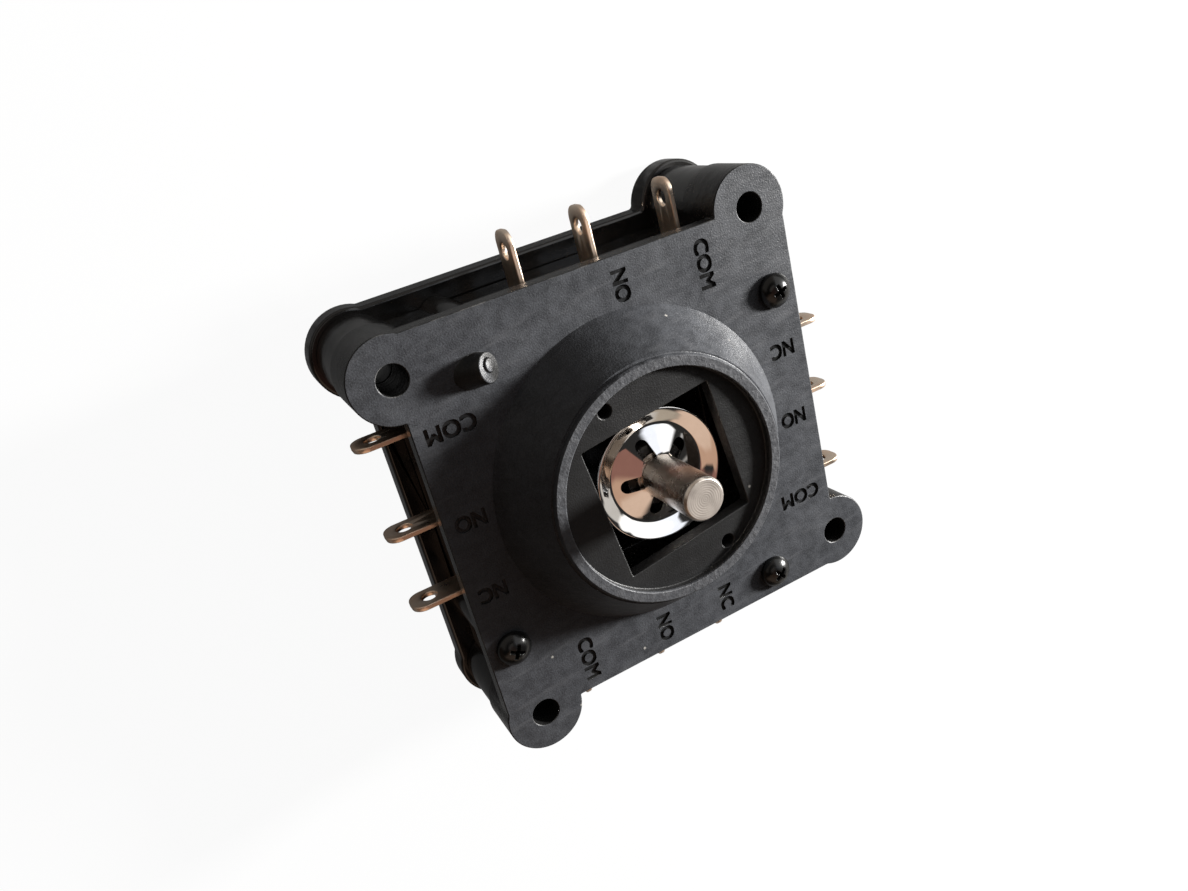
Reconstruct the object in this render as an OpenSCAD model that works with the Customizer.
// Panel joystick: a sprung stick in a square gate works four snap switches.
// X and Y run along the square of mounting holes, Z points out of the panel
// and zero is the middle of that square on the plate's front face.

/* [Body] */
// Distance between neighbouring mounting holes
hole_pitch = 36; // [34:0.5:40]
// Diameter of a mounting hole
hole_d = 2.7; // [2.4:0.1:3.2]
// Side of the square plate
body_w = 39.4; // [39:0.1:41]
// Turn of the plate against its mounting holes, clockwise
body_turn = 5.5; // [4:0.5:7]
// Radius of the lugs round the mounting holes
lug_r = 3.85; // [3.4:0.05:4]
// Thickness of the front lugs
lug_t = 5.4; // [4:0.1:6]
// Thickness of the front plate
plate_t = 1.6; // [1.2:0.1:2]
// Distance from the plate's face to the back of the body
body_depth = 15; // [14.6:0.1:16]
// Thickness of the rear cover
back_t = 2.6; // [2:0.1:3]
// Step by which the rear cover stands out past the plate
back_rim = 0.45; // [0.2:0.05:0.6]
// Thickness of the rear housing's wall
wall_t = 2.3; // [2.2:0.1:3]

/* [Collar] */
// Diameter of the collar at the plate
collar_base_d = 30.2; // [29:0.1:31]
// Diameter of the collar at its rim
collar_rim_d = 23; // [22.8:0.1:24]
// Height of the collar's rim
collar_h = 5.3; // [5:0.1:6]
// Diameter of the well inside the rim
well_d = 20.9; // [20:0.1:21.5]
// Height of the well's floor
floor_z = 4.5; // [4.3:0.1:4.8]
// Thickness of the well's floor
floor_t = 1.4; // [1:0.1:1.4]
// Side of the square gate
gate_w = 13.25; // [13:0.05:13.6]
// Turn of the gate against the mounting holes, anticlockwise
gate_turn = 2; // [0:0.5:3]

/* [Stick] */
// Diameter of the shaft where a knob sits
shaft_d = 4; // [3.8:0.1:4]
// Height of the shaft's end
shaft_top = 10.4; // [9:0.1:14]
// Depth of the tilt axes behind the plate's face
pivot_depth = 9.4; // [9.3:0.1:9.5]
// Outer diameter of the star washer
washer_d = 12.5; // [12:0.1:12.7]
// Number of slots in the star washer
washer_slots = 5; // [4:1:6]
// Diameter of the ball that the actuator's edge follows
ball_d = 13; // [12.8:0.1:13]

/* [Switches] */
// Length of a switch case
case_l = 19.8; // [19:0.1:20]
// Height of a switch case from plunger side to terminal side
case_h = 10.2; // [10:0.1:10.4]
// Thickness of a switch case
case_t = 6.4; // [6.2:0.1:6.4]
// Width of a terminal
tab_w = 3.2; // [2.8:0.1:3.4]
// Thickness of a terminal
tab_t = 0.5; // [0.4:0.05:0.6]
// Reach of the right, top, left and bottom terminals from the stick's axis
tab_reach = [24.35, 24, 24, 22.95]; // [22.5:0.05:25]

/* [Hidden] */
$fn = 64;
eps = 0.01;
slip = 0.05;

SIDES = ["right", "top", "left", "bottom"];

cover_black = [0.13, 0.13, 0.14];
housing_black = [0.05, 0.05, 0.055];
screw_black = [0.08, 0.08, 0.09];
bright_steel = [0.82, 0.82, 0.84];
turned_steel = [0.6, 0.58, 0.56];
tinned_bronze = [0.75, 0.68, 0.6];
contact_silver = [0.9, 0.9, 0.88];
plunger_white = [0.85, 0.84, 0.8];

half = body_w / 2;
back_z = -body_depth;
inner_z = back_z + back_t;
pivot_z = -pivot_depth;
shaft_r = shaft_d / 2;

peg_at = [-11.45, 15.7, 0];
peg_lean = 38;
peg_l = 1.5;

// Screw pillars stand beyond the end of each switch case.
pillar_r = 1.75;
pillar_at = [17.2, 11.4];
screw_sides = [0, 2, 3];
dowel_side = 1;
screw_r = 0.95;
screw_hole_r = 1;
screw_head_r = 1.66;
screw_head_h = 1.3;
screw_tip_z = -14.4;

// A switch lies with its plunger towards the stick: x points outwards from
// the stick, y runs along the side of the body.
case_in = 8;
case_out = case_in + case_h;
case_top = -plate_t;
case_bottom = case_top - case_t;
case_mid = (case_top + case_bottom) / 2;
case_wall = 0.9;
case_skin = 0.8;
nc_y = 5.7;
no_y = nc_y - 7.3;
com_y = no_y - 8.8;
case_low = com_y - 1.6;
case_high = case_low + case_l;

// Rear housing round the switches
wall_out = case_out + slip;
wall_top = case_bottom - slip;

// Moving pieces of a switch
plunger_r = 1.2;
plunger_tip = ball_d / 2 + 0.06;
flange_r = 1.8;
flange_x = 10.3;
flange_t = 0.6;
stem_r = 1;
stem_nose = 0.5;
blade_x = 13.1;
blade_t = 0.2;
blade_w = 2.4;
hinge_y = com_y + 0.4;
contact_y = nc_y - 1.1;
contact_r = 0.7;
contact_gap = 1.85;
contact_t = 0.45;
foot_t = 0.5;
tip_r = 1.25;

// Universal joint under the actuator
block_w = 3;
pin_r = 0.75;
pin_hole_r = 0.78;
post_in = 1.8;
post_out = 3.2;
post_w = 3;
post_top = pivot_z + 1.2;
yoke_in = 1.7;
yoke_out = 3.2;
yoke_w = 2.6;
yoke_drop = 1.4;
shoulder_r = 3.3;
shoulder_low = pivot_z + 2.9;
shoulder_top = pivot_z + 3.8;

// Neck in the shaft that the star washer's fingers snap into, above the
// slightly thicker length that carries the actuator
neck_r = shaft_r - 0.2;
neck_low = 2.35;
neck_high = 3.15;
seat_r = shaft_r + 0.1;

// Actuator, star washer and spring stack
ball_z = case_mid;
disc_t = 2.2;
hub_r = 3;
washer_t = 0.35;
washer_rim_z = 2.9;
washer_dish_z = 2.1;
washer_dish_r = 4.8;
washer_mid_r = 4.3;
washer_slot_w = 1.3;
washer_slot_r = 3.25;
washer_slot_turn = 30;
hub_top = washer_dish_z + 0.05;
wire_r = 0.4;
coil_r = 5.2;
coil_turns = 5.5;
coil_steps = 20;
coil_sides = 8;
seat_ring_r = 4.6;

// Places each child once per side of the body.
module on_side(i) rotate(90 * i - body_turn) children();
module on_sides(list) for (i = list) on_side(i) children();

module at_holes()
    for (x = [-1, 1], y = [-1, 1]) translate([x, y] * hole_pitch / 2) children();

// Square with four round lugs, grown all round by a margin.
module body_outline(grow = 0) {
    rotate(-body_turn) square(body_w + 2 * grow, center = true);
    at_holes() circle(lug_r + grow);
}

module mounting_holes()
    translate([0, 0, back_z - 1]) at_holes() cylinder(d = hole_d, h = body_depth + 2);

// Box given by its two opposite corners.
module box(low, high) translate(low) cube(high - low);

module front_cover() color(cover_black) difference() {
    union() {
        translate([0, 0, -plate_t]) linear_extrude(plate_t) body_outline();
        translate([0, 0, -lug_t]) linear_extrude(lug_t) at_holes() circle(lug_r);
        collar();
        leaning_peg();
    }
    mounting_holes();
    translate([0, 0, floor_z]) cylinder(d = well_d, h = collar_h);
    translate([0, 0, -plate_t - eps])
        cylinder(r1 = 12.6, r2 = 10.9, h = plate_t + floor_z - floor_t + eps);
    rotate(gate_turn) translate([0, 0, floor_z]) cube([gate_w, gate_w, 2 * collar_h], center = true);
    for (s = [-1, 1]) translate(s * [-3.6, 8.85, 0]) cylinder(r = 0.65, h = collar_h);
    on_sides(screw_sides) translate([pillar_at.x, pillar_at.y, -plate_t - 1])
        cylinder(r = screw_hole_r, h = plate_t + 2);
    on_side(dowel_side) translate([pillar_at.x, pillar_at.y, -plate_t - eps])
        cylinder(r = 0.85, h = 0.8);
}

// Cone-shaped collar with a small step below its rim.
module collar() {
    lip_z = collar_h - 0.5;
    cylinder(d1 = collar_base_d, d2 = collar_rim_d + 0.5, h = lip_z);
    translate([0, 0, lip_z - eps]) cylinder(d = collar_rim_d, h = collar_h - lip_z - 0.15 + eps);
    translate([0, 0, collar_h - 0.15]) cylinder(d1 = collar_rim_d, d2 = collar_rim_d - 0.3, h = 0.15);
}

// Short moulded peg that leans well over to the right, with a nib on its end.
module leaning_peg() intersection() {
    translate(peg_at) rotate(5) rotate([0, peg_lean, 0]) {
        translate([0, 0, -2.2]) cylinder(r1 = 1.62, r2 = 1.33, h = 2.2 + peg_l);
        translate([0, 0.22, peg_l - eps]) cylinder(r = 0.62, h = 0.25);
    }
    box([peg_at.x - 4, peg_at.y - 4, 0.1 - plate_t], [peg_at.x + 4, peg_at.y + 4, 4]);
}

// Square wall, lug columns and screw pillars, with a dowel on one pillar.
module rear_housing() color(housing_black) difference() {
    union() {
        translate([0, 0, inner_z]) linear_extrude(wall_top - inner_z) rotate(-body_turn) difference() {
            square(2 * wall_out, center = true);
            square(2 * (wall_out - wall_t), center = true);
        }
        translate([0, 0, inner_z]) at_holes() cylinder(r = lug_r - 0.2, h = -lug_t - slip - inner_z);
        on_sides([0:3]) translate([pillar_at.x, pillar_at.y, inner_z])
            cylinder(r = pillar_r, h = -plate_t - 0.02 - inner_z);
        on_side(dowel_side) translate([pillar_at.x, pillar_at.y, -plate_t - 0.5])
            cylinder(r = 0.8, h = 1.1);
    }
    mounting_holes();
    on_sides(screw_sides) translate([pillar_at.x, pillar_at.y, inner_z - 1])
        cylinder(r = screw_hole_r, h = body_depth);
}

module rear_cover() color(housing_black) difference() {
    union() {
        translate([0, 0, back_z]) linear_extrude(back_t) body_outline(back_rim);
        switch_seats();
        bearing_posts();
        translate([0, 0, inner_z - eps]) linear_extrude(0.8) difference() {
            circle(seat_ring_r);
            circle(seat_ring_r - 0.65);
        }
    }
    mounting_holes();
    translate([0, 0, back_z - eps]) cylinder(d = 16, h = 0.4);
    on_sides(screw_sides) translate([pillar_at.x, pillar_at.y, screw_tip_z - 0.2])
        cylinder(r = screw_r, h = 3);
}

// Square wall that carries the plunger side of the four cases.
module switch_seats() translate([0, 0, inner_z - eps])
    rotate(-body_turn) linear_extrude(wall_top - inner_z + eps) difference() {
        square(2 * (case_in + 2), center = true);
        square(2 * (case_in + 0.6), center = true);
    }

// Two posts that hold the long pivot pin.
module bearing_posts() for (i = [0, 2]) on_side(i) difference() {
    box([post_in, -post_w / 2, inner_z + 0.01 - back_t / 2], [post_out, post_w / 2, post_top]);
    translate([0, 0, pivot_z]) rotate([0, 90, 0]) cylinder(r = pin_hole_r, h = post_out + 1);
}

module cover_screws() color(screw_black) on_sides(screw_sides)
    translate([pillar_at.x, pillar_at.y, 0]) pan_head_screw();

// Pan head with a cross recess, on a plain shank.
module pan_head_screw() {
    crown_r = 1.98;
    difference() {
        intersection() {
            cylinder(r = screw_head_r, h = screw_head_h);
            translate([0, 0, screw_head_h - crown_r]) sphere(crown_r);
        }
        for (a = [20, 110]) rotate(a) translate([0, 0, screw_head_h])
            cube([2, 0.5, 1.3], center = true);
    }
    translate([0, 0, screw_tip_z]) cylinder(r = screw_r, h = eps - screw_tip_z);
}

module stick_shaft() color(turned_steel) rotate(-body_turn) difference() {
    union() {
        translate([0, 0, shoulder_top - eps]) cylinder(r = seat_r, h = neck_low - shoulder_top + eps);
        translate([0, 0, neck_low - eps]) cylinder(r = neck_r, h = neck_high - neck_low + 2 * eps);
        translate([0, 0, neck_high]) cylinder(r = shaft_r, h = shaft_top - neck_high - 0.25);
        translate([0, 0, shaft_top - 0.25]) cylinder(r1 = shaft_r, r2 = shaft_r - 0.2, h = 0.25);
        translate([0, 0, shoulder_low]) cylinder(r = shoulder_r, h = shoulder_top - shoulder_low);
        for (s = [-1, 1]) intersection() {
            box([-yoke_w / 2, min(s * yoke_in, s * yoke_out), pivot_z - yoke_drop],
                [yoke_w / 2, max(s * yoke_in, s * yoke_out), shoulder_low + eps]);
            translate([0, 0, pivot_z - yoke_drop]) cylinder(r = shoulder_r, h = 6);
        }
    }
    translate([0, 0, pivot_z]) rotate([90, 0, 0]) cylinder(r = pin_hole_r, h = 10, center = true);
}

// Dished ring whose fingers, between the slots, grip the shaft.
module star_washer() color(bright_steel) difference() {
    rotate_extrude() polygon([
        [washer_d / 2, washer_rim_z],
        [washer_dish_r, washer_dish_z],
        [washer_mid_r, washer_dish_z - 0.05],
        [neck_r + 0.02, washer_rim_z],
        [neck_r + 0.02, washer_rim_z - washer_t],
        [washer_mid_r, washer_dish_z - 0.05 - washer_t],
        [washer_dish_r + 0.05, washer_dish_z - washer_t],
        [washer_d / 2, washer_rim_z - washer_t],
    ]);
    for (i = [1:washer_slots]) rotate(washer_slot_turn + 360 / washer_slots * i) {
        box([0, -washer_slot_w / 2, 0], [washer_slot_r, washer_slot_w / 2, 5]);
        translate([washer_slot_r, 0, 0]) cylinder(d = washer_slot_w, h = 5);
    }
}

// Disc with a ball-shaped edge on a long hub.
module actuator() color(housing_black) difference() {
    union() {
        intersection() {
            translate([0, 0, ball_z]) sphere(d = ball_d, $fn = 96);
            translate([0, 0, ball_z - disc_t / 2]) cylinder(d = ball_d + 1, h = disc_t);
        }
        translate([0, 0, ball_z]) cylinder(r = hub_r, h = hub_top - ball_z);
        translate([0, 0, ball_z + disc_t / 2 - eps]) cylinder(r1 = 4.6, r2 = hub_r, h = 1.5);
    }
    translate([0, 0, pivot_z]) cylinder(r = seat_r + 0.01, h = 15);
    translate([0, 0, pivot_z]) cylinder(r = shoulder_r + 0.05, h = shoulder_top - pivot_z);
}

module pivot_block() color(turned_steel) rotate(-body_turn) difference() {
    translate([0, 0, pivot_z]) cube(block_w, center = true);
    for (a = [[0, 90, 0], [90, 0, 0]]) translate([0, 0, pivot_z]) rotate(a)
        cylinder(r = pin_r, h = block_w + 1, center = true);
}

module long_pivot_pin() color(bright_steel) rotate(-body_turn)
    translate([0, 0, pivot_z]) rotate([0, 90, 0]) cylinder(r = pin_r, h = 2 * post_out, center = true);

module short_pivot_pins() color(bright_steel) for (i = [1, 3]) on_side(i)
    translate([pin_r + slip, 0, pivot_z]) rotate([0, 90, 0])
        cylinder(r = pin_r, h = yoke_out - pin_r - slip);

// Centre line of the coil, which lies flat for half a turn at both ends.
coil_low = inner_z + wire_r;
coil_high = ball_z - disc_t / 2 - wire_r;
function coil_lift(turn) = min(max((turn - 0.5) / (coil_turns - 1), 0), 1);
function coil_ring(turn) = [
    for (k = [0:coil_sides - 1])
        let (a = 360 * turn, b = 360 * k / coil_sides, r = coil_r + wire_r * cos(b))
        [r * cos(a), r * sin(a), coil_low + (coil_high - coil_low) * coil_lift(turn) + wire_r * sin(b)]
];

module centring_spring() color(bright_steel) {
    rings = coil_turns * coil_steps;
    polyhedron(
        points = [for (i = [0:rings]) each coil_ring(i / coil_steps)],
        faces = concat(
            [[for (k = [0:coil_sides - 1]) k]],
            [[for (k = [coil_sides - 1:-1:0]) rings * coil_sides + k]],
            [for (i = [0:rings - 1], k = [0:coil_sides - 1])
                let (n = (k + 1) % coil_sides, a = i * coil_sides, b = a + coil_sides)
                [a + k, b + k, b + n, a + n]]
        )
    );
}

// Open tray with the plunger's hole, a low boss round each terminal and the
// slots that the terminals come out of.
module switch_case() color(housing_black) difference() {
    union() {
        box([case_in, case_low, case_bottom], [case_out, case_high, case_top - case_skin]);
        for (y = [com_y, no_y, nc_y])
            box([case_out - eps, y - 0.9, case_mid - 2.2], [case_out + 0.35, y + 0.9, case_mid + 2.2]);
    }
    box([case_in + case_wall, case_low + case_wall, case_bottom + case_skin],
        [case_out - case_wall, case_high - case_wall, case_top]);
    translate([case_in - 1, 0, case_mid]) rotate([0, 90, 0])
        cylinder(r = plunger_r + slip, h = case_wall + 2);
    for (y = [com_y, no_y, nc_y]) tab(y, case_out - case_wall - 1, case_out + 1, 0.02);
}

module switch_cover() color(housing_black)
    box([case_in, case_low, case_top - case_skin], [case_out, case_high, case_top]);

// Flat strip of terminal stock, grown all round by a margin.
module tab(y, x_low, x_high, grow = 0)
    box([x_low, y - tab_t / 2 - grow, case_mid - tab_w / 2 - grow],
        [x_high, y + tab_t / 2 + grow, case_mid + tab_w / 2 + grow]);

// Terminal from its inner end to its rounded tip, with the wire's hole.
module terminal(reach, y, x_low) difference() {
    union() {
        tab(y, x_low, reach - tip_r);
        box([reach - tip_r - eps, y - tab_t / 2, case_mid - tab_w / 2 + tip_r],
            [reach, y + tab_t / 2, case_mid + tab_w / 2 - tip_r]);
        for (s = [-1, 1]) translate([reach - tip_r, y, case_mid + s * (tab_w / 2 - tip_r)])
            rotate([90, 0, 0]) cylinder(r = tip_r, h = tab_t, center = true);
    }
    translate([reach - tab_w / 2 - 0.3, y, case_mid]) rotate([90, 0, 0])
        cylinder(d = 1.5, h = 2, center = true);
}

// Fixed contact on a foot that runs along y at the given x.
module contact_foot(y_low, y_high, x_low, inwards) {
    box([x_low, y_low, case_mid - blade_w / 2], [x_low + foot_t, y_high, case_mid + blade_w / 2]);
    translate([inwards ? x_low - contact_t : x_low + foot_t - eps, contact_y, case_mid])
        rotate([0, 90, 0]) cylinder(r = contact_r, h = contact_t + eps);
}

module com_terminal(reach) color(tinned_bronze) terminal(reach, com_y, blade_x - 0.7);

module no_terminal(reach) color(tinned_bronze) {
    foot_x = blade_x + contact_gap + contact_t + contact_t;
    terminal(reach, no_y, foot_x);
    contact_foot(no_y, nc_y - 0.5, foot_x, true);
}

module nc_terminal(reach) color(tinned_bronze) {
    foot_x = blade_x - contact_gap - 2 * contact_t - foot_t;
    terminal(reach, nc_y, foot_x);
    contact_foot(contact_y - 0.8, nc_y, foot_x, false);
}

module plunger() color(plunger_white) translate([0, 0, case_mid]) rotate([0, 90, 0]) {
    stem_end = blade_x - blade_t / 2 - 0.08;
    translate([0, 0, plunger_tip]) cylinder(r1 = plunger_r - 0.2, r2 = plunger_r, h = 0.3);
    translate([0, 0, plunger_tip + 0.3 - eps])
        cylinder(r = plunger_r, h = flange_x - plunger_tip - 0.3 + 2 * eps);
    translate([0, 0, flange_x]) cylinder(r = flange_r, h = flange_t);
    translate([0, 0, flange_x + flange_t - eps])
        cylinder(r = stem_r, h = stem_end - stem_nose - flange_x - flange_t + eps);
    translate([0, 0, stem_end - stem_nose]) cylinder(r1 = stem_r, r2 = 0.3, h = stem_nose);
}

module snap_blade() color(tinned_bronze) difference() {
    box([blade_x - blade_t / 2, hinge_y - 0.08, case_mid - blade_w / 2],
        [blade_x + blade_t / 2, contact_y + contact_r, case_mid + blade_w / 2]);
    translate([blade_x - 1, contact_y, case_mid]) rotate([0, 90, 0]) cylinder(r = 0.4, h = 2);
}

// Silver rivet through the blade's free end.
module moving_contact() color(contact_silver) translate([blade_x, contact_y, case_mid]) rotate([0, 90, 0]) {
    cylinder(r = 0.4, h = blade_t + 2 * eps, center = true);
    for (s = [-1, 1]) translate([0, 0, s * (contact_t + blade_t / 2) / 2])
        cylinder(r = contact_r, h = contact_t - blade_t / 2, center = true);
}

front_cover();
rear_housing();
rear_cover();
cover_screws();
stick_shaft();
star_washer();
actuator();
centring_spring();
pivot_block();
long_pivot_pin();
short_pivot_pins();
for (i = [0:3]) {
    on_side(i) switch_case();
    on_side(i) switch_cover();
    on_side(i) plunger();
    on_side(i) snap_blade();
    on_side(i) moving_contact();
    on_side(i) com_terminal(tab_reach[i]);
    on_side(i) no_terminal(tab_reach[i]);
    on_side(i) nc_terminal(tab_reach[i]);
}
